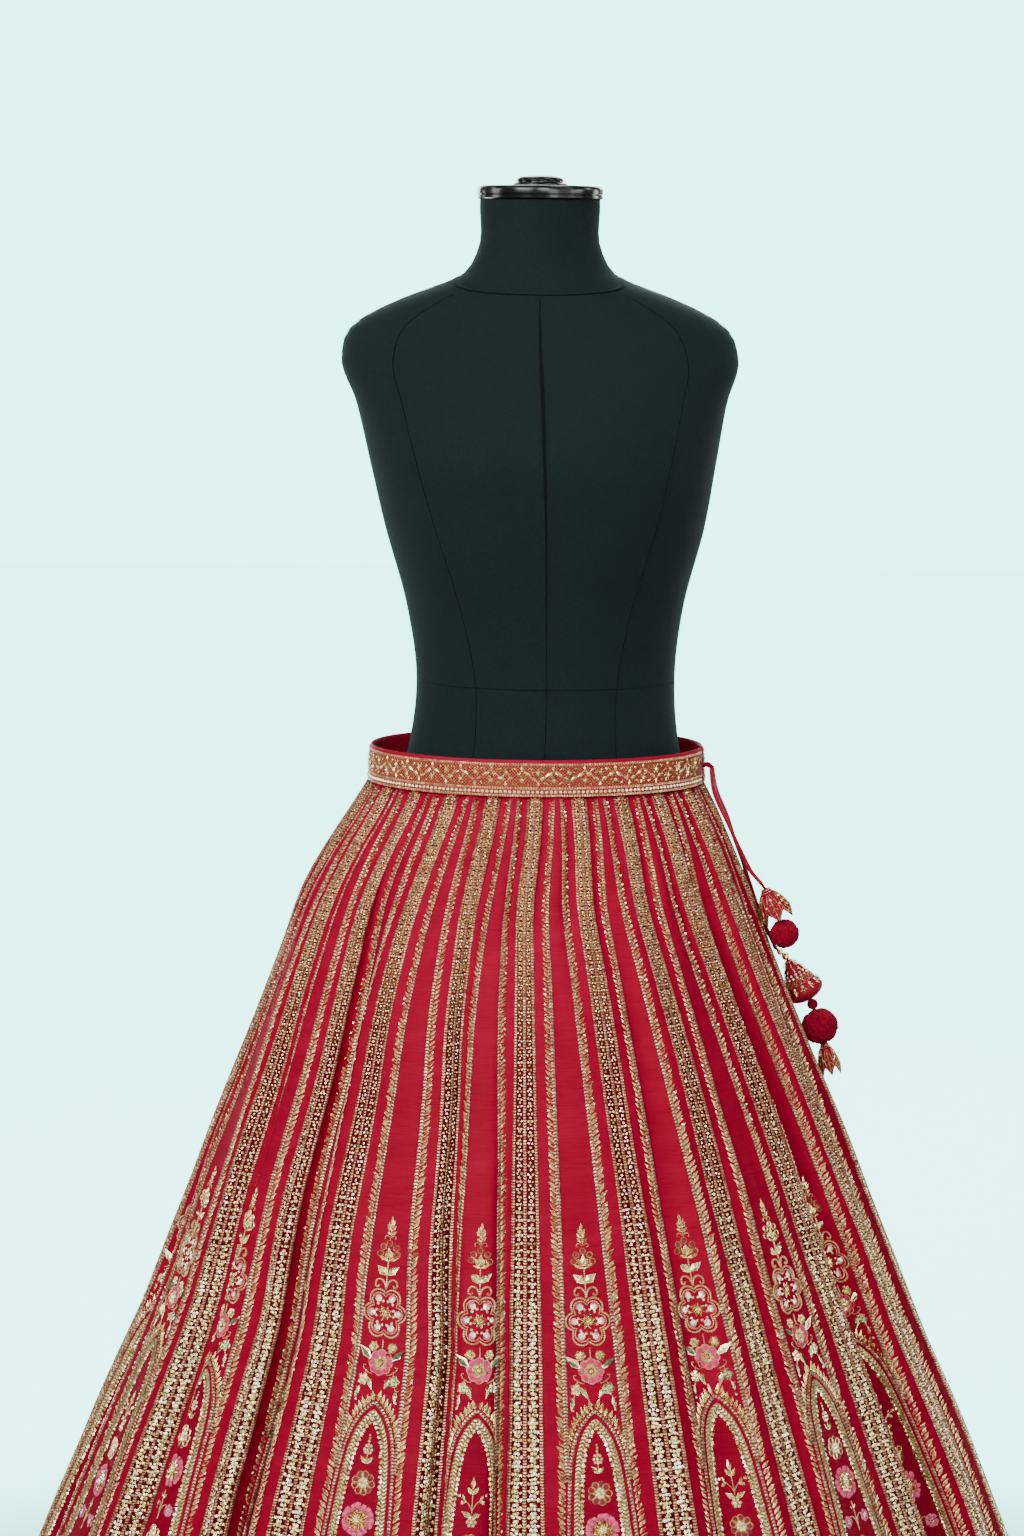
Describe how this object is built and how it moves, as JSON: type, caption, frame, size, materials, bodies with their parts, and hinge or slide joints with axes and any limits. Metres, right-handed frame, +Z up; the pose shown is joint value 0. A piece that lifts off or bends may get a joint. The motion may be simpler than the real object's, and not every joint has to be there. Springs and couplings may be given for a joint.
{
  "type": "lehenga skirt on a dress form",
  "caption": "Flared floor-length lehenga skirt of embroidered silk gores with a tied waistband and tassels, standing on a limbless dress form.",
  "frame": {"origin": "centre of the stand's foot, on the floor", "axes": "+Z up, -Y the wearer's front, +X the wearer's left, where the ties hang"},
  "size_m": [1.1284, 1.1035, 1.5573],
  "materials": {
    "embroidered_silk": "crimson raw silk with gold thread, sequins and beads",
    "gold_embroidery": "dense antique gold thread work",
    "silk_cord": "folded crimson silk",
    "thread": "matt cut thread",
    "gilt": "polished gilt",
    "jersey": "matt stretch jersey",
    "lacquer": "gloss black",
    "stand_metal": "satin black"
  },
  "bodies": {
    "root": {"gore_01": "embroidered_silk", "gore_02": "embroidered_silk", "gore_03": "embroidered_silk", "gore_04": "embroidered_silk", "gore_05": "embroidered_silk", "gore_06": "embroidered_silk", "gore_07": "embroidered_silk", "gore_08": "embroidered_silk", "gore_09": "embroidered_silk", "gore_10": "embroidered_silk", "gore_11": "embroidered_silk", "waistband": "gold_embroidery", "tie_short": "silk_cord", "tie_long": "silk_cord", "petal_bell_upper": "gold_embroidery", "petal_bell_lower": "gold_embroidery", "cone_bell": "gold_embroidery", "pompom_upper": "thread", "pompom_lower": "thread", "thread_ball": "thread", "bead_small": "gilt", "bead_large": "gilt", "torso": "jersey", "neck_cap": "lacquer", "cap_knob": "lacquer", "pole": "stand_metal", "stand_base": "stand_metal"}
  },
  "joints": []
}
